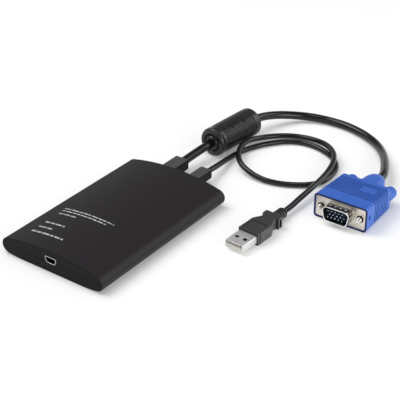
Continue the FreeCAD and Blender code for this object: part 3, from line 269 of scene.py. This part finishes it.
BLUE = (0.032, 0.120, 0.505)
# Each colour below is painted light or shade: painted light on the paler sides and tops, a painted
# highlight on the shroud's lip, a painted dark reflection on the shroud, and painted shade in all the rest
SIDE_BLUE_LIT = (0.052, 0.152, 0.570)
BLUE_SHADE = (0.019, 0.077, 0.360)
NAVY_RIM_SHADE = (0.008, 0.018, 0.110)
SHADE = (0.008, 0.008, 0.009)
CASE_SIDE_LIT = (0.032, 0.029, 0.032)
CASE_END_SHADE = (0.010, 0.0085, 0.010)
BOOT_TOP_LIT = (0.072, 0.069, 0.073)
GRIP_SIDE_LIT = (0.085, 0.082, 0.085)
PORT_DEPTH_SHADE = (0.05, 0.05, 0.05)
SHROUD_DARK_REFLECTION = (0.28, 0.265, 0.245)
LIP_HIGHLIGHT = (0.84, 0.84, 0.82)
PIN_SHANK_SHADE = (0.085, 0.12, 0.16)
FLANGE_ROUGHNESS = 0.34
SHROUD_ROUGHNESS = 0.16
# Radii of the painted shade round the screws and on the knob ends
HOOD_HOLE = 2.8 * MM
FLANGE_HOLE = 2.3 * MM
KNOB_REACH = 4.0 * MM

HOOD_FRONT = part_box("vga_hood")[0].y
KNOB_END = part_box("left_knob")[1].y
SHROUD_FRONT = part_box("vga_front_shell")[0].y
USB_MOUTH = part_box("usb_shell")[0].y
PORT_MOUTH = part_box("console_port_shell")[0].y
PIN_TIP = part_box("vga_pins")[0].y
SCREW_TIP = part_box("left_screw")[0].y

# Stretches along Y over which a stain comes in, from where it starts to where it is full
# All of them bring in painted shade, save the shroud's, a painted dark reflection that also marks its
# smoother metal, and its lip's, a painted highlight.
HOOD_RIM_SHADE = (HOOD_FRONT + 0.3 * MM, HOOD_FRONT + 0.1 * MM)
IN_HOOD_SHADE = (HOOD_FRONT + 8 * MM, HOOD_FRONT + 7 * MM)
KNOB_CAP_SHADE = (KNOB_END - 1.1 * MM, KNOB_END - 0.6 * MM)
SHROUD = (SHROUD_FRONT + 5.8 * MM, SHROUD_FRONT + 5.3 * MM)
SHROUD_LIP_HIGHLIGHT = (SHROUD_FRONT + 0.5 * MM, SHROUD_FRONT + 0.3 * MM)
IN_USB_PLUG_SHADE = (USB_MOUTH + 1.5 * MM, USB_MOUTH + 4 * MM)
IN_PORT_SHADE = (PORT_MOUTH + 0.1 * MM, PORT_MOUTH + 0.5 * MM)
BEHIND_NOSE_SHADE = (PIN_TIP + 0.5 * MM, PIN_TIP + 1.2 * MM)
SCREW_NECK_SHADE = (SCREW_TIP + 2.4 * MM, SCREW_TIP + 3.0 * MM)


def case_plastic():
    """Fine matt black, with painted light along the long sides and painted shade on the two ends."""
    finish = moulded("case_plastic", (0.0185, 0.0160, 0.0185), roughness=0.50, grain=0.22 * MM,
                     relief=0.02 * MM, mottle=0.03, edge=0.8 * MM, uneven=0.02, Specular_IOR_Level=0.10)
    finish.stain(finish.facing("X", start=0.25, end=0.8), CASE_SIDE_LIT)
    finish.stain(finish.facing("Y", start=0.6, end=0.95), CASE_END_SHADE)
    return finish


def legend_ink():
    return moulded("legend_ink", (0.68, 0.68, 0.69), roughness=0.6, grain=0.15 * MM, relief=0.004 * MM,
                   mottle=0.2, Specular_IOR_Level=0.2)


def boot_rubber():
    """Dark rubber, with painted light on its upper faces."""
    finish = moulded("boot_rubber", (0.009, 0.008, 0.009), roughness=0.5, grain=0.3 * MM, relief=0.02 * MM,
                     edge=0.7 * MM, Specular_IOR_Level=0.08)
    finish.stain(finish.step(finish.axis("Z", "Normal"), start=0.6, end=0.95), BOOT_TOP_LIT)
    return finish


def cord_jacket():
    return moulded("cord_jacket", (0.0040, 0.0036, 0.0040), roughness=0.18, grain=0.5 * MM,
                   relief=0.004 * MM, Specular_IOR_Level=0.42)


def sleeve_rubber():
    """Black vinyl, with painted shade in the grooves between its ribs."""
    finish = moulded("sleeve_rubber", (0.014, 0.013, 0.014), roughness=0.28, grain=0.35 * MM,
                     relief=0.02 * MM, Specular_IOR_Level=0.42)
    finish.stain(finish.crevice_shade(1.0 * MM), SHADE)
    return finish


def grip_rubber():
    """Black vinyl, with painted light on its sides and painted shade in its grooves and on the faces
    towards the shell.
    """
    finish = moulded("grip_rubber", (0.034, 0.032, 0.034), roughness=0.45, grain=0.3 * MM, relief=0.02 * MM,
                     Specular_IOR_Level=0.3)
    finish.stain(finish.facing("X", start=0.6, end=0.9), GRIP_SIDE_LIT)
    finish.stain(finish.crevice_shade(1.5 * MM), SHADE)
    finish.stain(finish.step(finish.axis("Y", "Normal"), start=-0.7, end=-0.95), SHADE)
    return finish


def hood_blue():
    """Blue vinyl, with painted light on its sides and painted shade in its grooves, on the knob ends, as a
    navy front rim and in the holes round the screws.
    """
    finish = moulded("hood_blue", BLUE, roughness=0.40, grain=0.3 * MM, relief=0.012 * MM, mottle=0.06,
                     edge=0.3 * MM, Specular_IOR_Level=0.33)
    finish.stain(finish.facing("X", start=0.8, end=0.97), SIDE_BLUE_LIT)
    finish.stain(finish.crevice_shade(1.5 * MM), BLUE_SHADE)
    finish.stain(finish.past(*HOOD_RIM_SHADE), NAVY_RIM_SHADE)
    # Painted shade in the holes round the screws and on the knob ends
    hole = finish.past(*IN_HOOD_SHADE)
    knob_cap_shade = finish.past(*KNOB_CAP_SHADE)
    for joint in frame["record"]["behaviour"]["joints"]:
        finish.stain(finish.both(hole, finish.near_line(joint["pos_m"], HOOD_HOLE)), SHADE)
        finish.stain(finish.both(knob_cap_shade, finish.near_line(joint["pos_m"], KNOB_REACH)), BLUE_SHADE)
    return finish


def insulator_dark():
    return moulded("insulator_dark", (0.010, 0.034, 0.080), roughness=0.5, grain=0.3 * MM, relief=0.01 * MM)


def insulator_light():
    """Pale plastic, with painted shade in the depth of the plug."""
    finish = moulded("insulator_light", (0.72, 0.71, 0.65), roughness=0.4, grain=0.4 * MM, relief=0.01 * MM,
                     mottle=0.04)
    finish.stain(finish.past(*IN_USB_PLUG_SHADE), SHADE)
    return finish


def port_plastic():
    return moulded("port_plastic", (0.035, 0.034, 0.035), roughness=0.5, grain=0.3 * MM, relief=0.01 * MM)


def header_plastic():
    return moulded("header_plastic", (0.70, 0.67, 0.58), roughness=0.5, grain=0.4 * MM, relief=0.01 * MM,
                   mottle=0.05)


def chip_black():
    return moulded("chip_black", (0.018, 0.018, 0.020), roughness=0.6, grain=0.15 * MM, relief=0.01 * MM)


def ferrite():
    return moulded("ferrite", (0.050, 0.050, 0.054), roughness=0.55, grain=0.4 * MM, relief=0.04 * MM,
                   mottle=0.2)


def circuit_board():
    """Green solder mask over copper tracks, which show as paler and darker fields."""
    mask = (0.010, 0.110, 0.045)
    field = 6 * MM
    finish = moulded("circuit_board", mask, roughness=0.35, grain=0.3 * MM, relief=0.01 * MM)
    tracks = finish.add("ShaderNodeTexBrick")
    tracks.inputs["Scale"].default_value = 1 / field
    finish.link(finish.place, tracks.inputs["Vector"])
    for socket, share in (("Color1", 1), ("Color2", 1.25), ("Mortar", 0.6)):
        tracks.inputs[socket].default_value = (*shade(mask, share), 1)
    finish.paint(tracks.outputs["Color"])
    return finish


def connector_steel():
    return plated("connector_steel", (0.82, 0.81, 0.80), roughness=0.45, stretch=ALONG_Y)


def port_steel():
    """Bright at the mouth, with painted shade in the depth of the port."""
    finish = plated("port_steel", (0.66, 0.65, 0.67), roughness=0.3, stretch=ALONG_Y)
    finish.stain(finish.past(*IN_PORT_SHADE), PORT_DEPTH_SHADE)
    return finish


def flange_nickel():
    """Satin plate with painted shade in the screw holes, and a smoother drawn shroud, darkened as a painted
    dark reflection, with a painted highlight on its lip.
    """
    finish = plated("flange_nickel", (0.76, 0.72, 0.65), roughness=FLANGE_ROUGHNESS, stretch=ALONG_X)
    drawn = finish.past(*SHROUD)
    finish.stain(drawn, SHROUD_DARK_REFLECTION)
    finish.stain(finish.past(*SHROUD_LIP_HIGHLIGHT), LIP_HIGHLIGHT)
    for joint in frame["record"]["behaviour"]["joints"]:
        finish.stain(finish.near_line(joint["pos_m"], FLANGE_HOLE), SHADE)
    gloss = finish.add("ShaderNodeMapRange")
    gloss.inputs["To Min"].default_value = FLANGE_ROUGHNESS
    gloss.inputs["To Max"].default_value = SHROUD_ROUGHNESS
    finish.link(drawn, gloss.inputs["Value"])
    finish.feed("Roughness", gloss.outputs["Result"])
    return finish


def screw_steel():
    """Bright zinc, with painted shade at the neck where a thumbscrew goes into its hole."""
    finish = plated("screw_steel", (0.72, 0.70, 0.66), roughness=0.28, stretch=ALONG_X)
    finish.stain(finish.past(*SCREW_NECK_SHADE), SHADE)
    return finish


def can_metal():
    return plated("can_metal", (0.70, 0.70, 0.70), roughness=0.35, stretch=ALONG_X)


def contact_gold():
    """Gold at the front of the plug, with painted shade in its depth."""
    finish = plated("contact_gold", (0.86, 0.68, 0.34), roughness=0.25, stretch=ALONG_Y)
    finish.stain(finish.past(*IN_USB_PLUG_SHADE), SHADE)
    return finish


def pin_silver():
    """Bright noses, with painted shade on the shanks."""
    finish = plated("pin_silver", (0.88, 0.94, 0.98), roughness=0.16, stretch=ALONG_Y)
    finish.stain(finish.past(*BEHIND_NOSE_SHADE), PIN_SHANK_SHADE)
    return finish


SLOT_FINISHES = (
    case_plastic, screw_steel, circuit_board, chip_black, can_metal, connector_steel, port_plastic,
    contact_gold, boot_rubber, header_plastic, cord_jacket, sleeve_rubber, ferrite, hood_blue,
    flange_nickel, insulator_dark, grip_rubber, insulator_light, pin_silver, port_steel,
)


def dress_nodes():
    """Gives every node of the frame the finish of its material slot, and returns the finishes by slot."""
    finishes = {make.__name__: make().material for make in SLOT_FINISHES}
    for subpart in frame["record"]["subparts"]:
        piece = NODES[subpart["node"]]
        piece.material_slots[0].material = finishes[subpart["material_slot"]]
    return finishes


# Cords

VGA_DIAMETER = 0.0054
VGA_ROUTE = [
    (-0.0095, 0.0740, 0.0064), (-0.0088, 0.0820, 0.0073), (-0.0081, 0.0886, 0.0080),
    (-0.0074, 0.0945, 0.0087), (-0.0059, 0.1114, 0.0092), (-0.0045, 0.1294, 0.0092),
    (-0.0031, 0.1463, 0.0092), (0.0012, 0.1584, 0.0076),
    (0.0084, 0.1696, 0.0052), (0.0194, 0.1786, 0.0033), (0.0330, 0.1819, 0.0027), (0.0468, 0.1813, 0.0027),
    (0.0608, 0.1770, 0.0027), (0.0730, 0.1696, 0.0029), (0.0829, 0.1588, 0.0040), (0.0899, 0.1474, 0.0056),
    (0.0954, 0.1364, 0.0068), (0.0984, 0.1286, 0.0074), (0.0988, 0.1227, 0.0076),
]
USB_DIAMETER = 0.0035
LYING = USB_DIAMETER / 2
USB_ROUTE = [
    (0.0095, 0.0726, 0.0064), (0.0095, 0.0790, 0.0058), (0.0086, 0.0879, 0.0047), (0.0072, 0.0991, 0.0032),
    (0.0066, 0.1090, 0.0020), (0.0080, 0.1174, LYING), (0.0114, 0.1266, LYING), (0.0170, 0.1354, LYING),
    (0.0234, 0.1424, LYING), (0.0314, 0.1463, LYING), (0.0412, 0.1468, LYING), (0.0512, 0.1438, LYING),
    (0.0602, 0.1382, LYING), (0.0664, 0.1301, LYING), (0.0685, 0.1201, LYING), (0.0683, 0.1106, LYING),
    (0.0638, 0.1024, LYING), (0.0548, 0.0960, LYING), (0.0450, 0.0920, LYING), (0.0356, 0.0908, 0.0023),
    (0.0267, 0.0918, 0.0038), (0.0185, 0.0952, 0.0052), (0.0123, 0.1022, 0.0057), (0.0074, 0.1116, 0.0058),
    (0.0048, 0.1226, 0.0048), (0.0069, 0.1345, 0.0025), (0.0119, 0.1430, LYING), (0.0190, 0.1490, LYING),
    (0.0270, 0.1526, LYING), (0.0368, 0.1532, 0.0024), (0.0474, 0.1494, 0.0040), (0.0563, 0.1422, 0.0054),
    (0.0622, 0.1340, 0.0056), (0.0659, 0.1242, 0.0055), (0.0682, 0.1130, 0.0054), (0.0694, 0.1006, 0.0054),
    (0.0696, 0.0886, 0.0049), (0.0695, 0.0795, 0.0043), (0.0697, 0.0720, 0.0037),
    (0.06927, 0.06452, 0.0037),
]
CORD_STEPS = 10
CORD_SIDES = 5


def lay_cord(name, route, diameter, material):
    """A round cord on one smooth spline that has the route's points as its control points."""
    curve = bpy.data.curves.new(name, "CURVE")
    curve.dimensions = "3D"
    spline = curve.splines.new("NURBS")
    spline.points.add(len(route) - 1)
    for point, place in zip(spline.points, route):
        point.co = (*place, 1)
    spline.order_u = 3
    spline.use_endpoint_u = True
    spline.resolution_u = CORD_STEPS
    curve.bevel_depth = diameter / 2
    curve.bevel_resolution = CORD_SIDES
    curve.use_fill_caps = True
    curve.materials.append(material)
    cord = bpy.data.objects.new(name, curve)
    bpy.context.scene.collection.objects.link(cord)
    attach(cord, BODY)
    return cord


def lay_cords(material):
    vga = lay_cord("vga_lead", VGA_ROUTE, VGA_DIAMETER, material)
    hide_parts("vga_cord")
    usb = lay_cord("usb_lead", USB_ROUTE, USB_DIAMETER, material)
    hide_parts("usb_cord")


# Meshes made of runs of sections


def loft(name, runs, material, body):
    """One piece of closed solids, each a run of like sections with a cap at both ends."""
    shape = bmesh.new()
    for run in runs:
        rings = [[shape.verts.new(point) for point in section] for section in run]
        for ring, following in zip(rings, rings[1:]):
            for side, point in enumerate(ring):
                shape.faces.new((ring[side - 1], point, following[side], following[side - 1]))
        shape.faces.new(rings[0])
        shape.faces.new(reversed(rings[-1]))
    bmesh.ops.recalc_face_normals(shape, faces=shape.faces)
    mesh = bpy.data.meshes.new(name)
    shape.to_mesh(mesh)
    shape.free()
    mesh.materials.append(material)
    piece = bpy.data.objects.new(name, mesh)
    bpy.context.scene.collection.objects.link(piece)
    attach(piece, body)


# Printed lines on the box

# Plain ticks in groups. Each row, in millimetres: its place along the box, its two ends across, its height
LEGEND_ROWS = [
    (-15.1, -25.6, 10.3, 0.9), (-17.6, -25.2, 6.3, 0.9), (-21.0, -24.6, -12.3, 0.9),
    (-32.0, -24.6, -10.0, 1.3), (-37.4, -24.6, -14.8, 1.3), (-42.8, -24.8, -1.8, 1.3),
]
GROUP_TICKS = (3, 7)
GROUP_GAP = 0.7
TICK_SPAN = (0.40, 0.60)
TICK_GAP = 0.24
INK_PROUD = 0.02 * MM
INK_SUNK = 0.03 * MM
WELL_ABOVE = 1
DOWN = Vector((0, 0, -1))
LEGEND_SEED = 11


def tick(surface, start, end, along, height):
    """Sections of one tick laid on the arched top, from start to end across the box."""
    low, high = (along - height / 2) * MM, (along + height / 2) * MM
    run = []
    for across in (start * MM, end * MM):
        level = surface.ray_cast(Vector((across, along * MM, WELL_ABOVE)), DOWN)[0].z
        under, over = level - INK_SUNK, level + INK_PROUD
        run.append([(across, low, under), (across, high, under), (across, high, over), (across, low, over)])
    return run


def print_legends():
    chance = random.Random(LEGEND_SEED)
    surface = BVHTree.FromObject(NODES["top_shell"], bpy.context.evaluated_depsgraph_get())
    runs = []
    for along, start, end, height in LEGEND_ROWS:
        left_in_group = 0
        while start < end:
            if left_in_group == 0:
                left_in_group = chance.randint(*GROUP_TICKS)
                start += GROUP_GAP
            stop = start + chance.uniform(*TICK_SPAN)
            runs.append(tick(surface, start, stop, along, height))
            start = stop + TICK_GAP
            left_in_group -= 1
    loft("printed_lines", runs, legend_ink().material, BODY)


# Threads on the tips of the thumbscrews

THREAD_PITCH = 0.64 * MM
THREAD_HEIGHT = 0.16 * MM
THREAD_SUNK = 0.05 * MM
THREAD_RADIUS = 1.42 * MM
THREAD_START = 0.5 * MM
THREAD_LENGTH = 2.2 * MM
THREAD_FOOT = 0.8 * THREAD_PITCH
TURN_STEPS = 24
RUN_OUT_STEPS = TURN_STEPS / 4


def thread(name, screw, body, centre, material):
    """A helical ridge round the tip of one screw, lower at both ends."""
    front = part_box(screw)[0].y + THREAD_START
    turns = THREAD_LENGTH / THREAD_PITCH
    steps = round(turns * TURN_STEPS)
    run = []
    for step in range(steps + 1):
        angle = 2 * math.pi * step / TURN_STEPS
        along = front + THREAD_PITCH * step / TURN_STEPS
        rise = min(1, step / RUN_OUT_STEPS, (steps - step) / RUN_OUT_STEPS)
        out = Vector((math.cos(angle), 0, math.sin(angle)))
        axis = Vector((centre[0], along, centre[2]))
        foot = axis + out * (THREAD_RADIUS - THREAD_SUNK)
        crest = axis + out * (THREAD_RADIUS + THREAD_HEIGHT * rise)
        half = Vector((0, THREAD_FOOT / 2, 0))
        run.append([foot - half, foot + half, crest])
    loft(name, [run], material, body)


def cut_threads(material):
    for joint in frame["record"]["behaviour"]["joints"]:
        body = joint["child"]
        side = body.split("_")[0]
        thread(f"{side}_thread", f"{side}_screw", body, joint["pos_m"], material)


# Studio

FLOOR_REACH = 3.0
FLOOR_COLOUR = (0.93, 0.93, 0.93, 1)
FLOOR_ROUGHNESS = 0.9
FLOOR_GLOW = 0.05
WORLD_LIGHT = 0.22
# Heights on the sky's unit sphere: white up to the first, dim from the second on
WHITE_UP_TO = 0.20
DARK_FROM = 0.36
# Each lamp's name, place, width, power in watts, and whether it casts shadows
LAMPS = [
    ("key", (-0.8, -0.1, 1.25), 1.0, 13.0, True),
    ("overhead", (0.1, 0.1, 1.6), 0.6, 3.2, True),
    ("side", (1.3, 0.1, 0.6), 1.4, 3.0, True),
    ("fill", (1.3, -0.2, 0.35), 0.9, 8.0, False),
    ("rim", (0.7, 1.0, 0.65), 0.8, 4.5, False),
    ("front", (-0.3, -1.2, 0.5), 0.9, 1.5, True),
]


def seen_directly(tree):
    """1 for rays from the camera, and for those that reach it by a mirror or through glass."""
    path = tree.nodes.new("ShaderNodeLightPath")
    total = path.outputs["Is Camera Ray"]
    for output in ("Is Glossy Ray", "Is Transmission Ray"):
        either = tree.nodes.new("ShaderNodeMath")
        either.operation = "MAXIMUM"
        tree.links.new(total, either.inputs[0])
        tree.links.new(path.outputs[output], either.inputs[1])
        total = either.outputs[0]
    return total


def add_floor():
    mesh = bpy.data.meshes.new("floor")
    corners = [(x * FLOOR_REACH, y * FLOOR_REACH, 0) for x, y in ((-1, -1), (1, -1), (1, 1), (-1, 1))]
    mesh.from_pydata(corners, [], [range(4)])
    floor = bpy.data.objects.new("floor", mesh)
    bpy.context.scene.collection.objects.link(floor)
    material = bpy.data.materials.new("floor")
    material.use_nodes = True
    tree = material.node_tree
    shader = tree.nodes["Principled BSDF"]
    shader.inputs["Base Color"].default_value = FLOOR_COLOUR
    shader.inputs["Roughness"].default_value = FLOOR_ROUGHNESS
    shader.inputs["Specular IOR Level"].default_value = 0
    shader.inputs["Emission Color"].default_value = WHITE
    glow = tree.nodes.new("ShaderNodeMath")
    glow.operation = "MULTIPLY"
    glow.inputs[1].default_value = FLOOR_GLOW
    tree.links.new(seen_directly(tree), glow.inputs[0])
    tree.links.new(glow.outputs[0], shader.inputs["Emission Strength"])
    mesh.materials.append(material)


def add_world():
    """A dim ceiling over a white horizon, which only shows and is mirrored, and doesn't light."""
    world = bpy.data.worlds.new("studio")
    bpy.context.scene.world = world
    world.use_nodes = True
    tree = world.node_tree
    background = tree.nodes["Background"]
    background.inputs["Color"].default_value = WHITE
    direction = tree.nodes.new("ShaderNodeSeparateXYZ")
    tree.links.new(tree.nodes.new("ShaderNodeTexCoord").outputs["Generated"], direction.inputs["Vector"])
    horizon = tree.nodes.new("ShaderNodeMapRange")
    horizon.inputs["From Min"].default_value = DARK_FROM
    horizon.inputs["From Max"].default_value = WHITE_UP_TO
    tree.links.new(direction.outputs["Z"], horizon.inputs["Value"])
    shown = tree.nodes.new("ShaderNodeMath")
    shown.operation = "MULTIPLY"
    tree.links.new(horizon.outputs["Result"], shown.inputs[0])
    tree.links.new(seen_directly(tree), shown.inputs[1])
    strength = tree.nodes.new("ShaderNodeMapRange")
    strength.inputs["To Min"].default_value = WORLD_LIGHT
    strength.inputs["To Max"].default_value = 1
    tree.links.new(shown.outputs[0], strength.inputs["Value"])
    tree.links.new(strength.outputs["Result"], background.inputs["Strength"])


def add_lamps():
    for name, place, width, power, shadow in LAMPS:
        data = bpy.data.lights.new(name, "AREA")
        data.size = width
        data.energy = power
        data.use_shadow = shadow
        lamp = bpy.data.objects.new(name, data)
        lamp.location = place
        lamp.rotation_mode = "QUATERNION"
        lamp.rotation_quaternion = (TARGET - lamp.location).to_track_quat("-Z", "Y")
        bpy.context.scene.collection.objects.link(lamp)


finishes = dress_nodes()
lay_cords(finishes["cord_jacket"])
print_legends()
cut_threads(finishes["screw_steel"])
add_floor()
add_world()
add_lamps()
add_camera()
bpy.context.scene.view_settings.view_transform = "Standard"
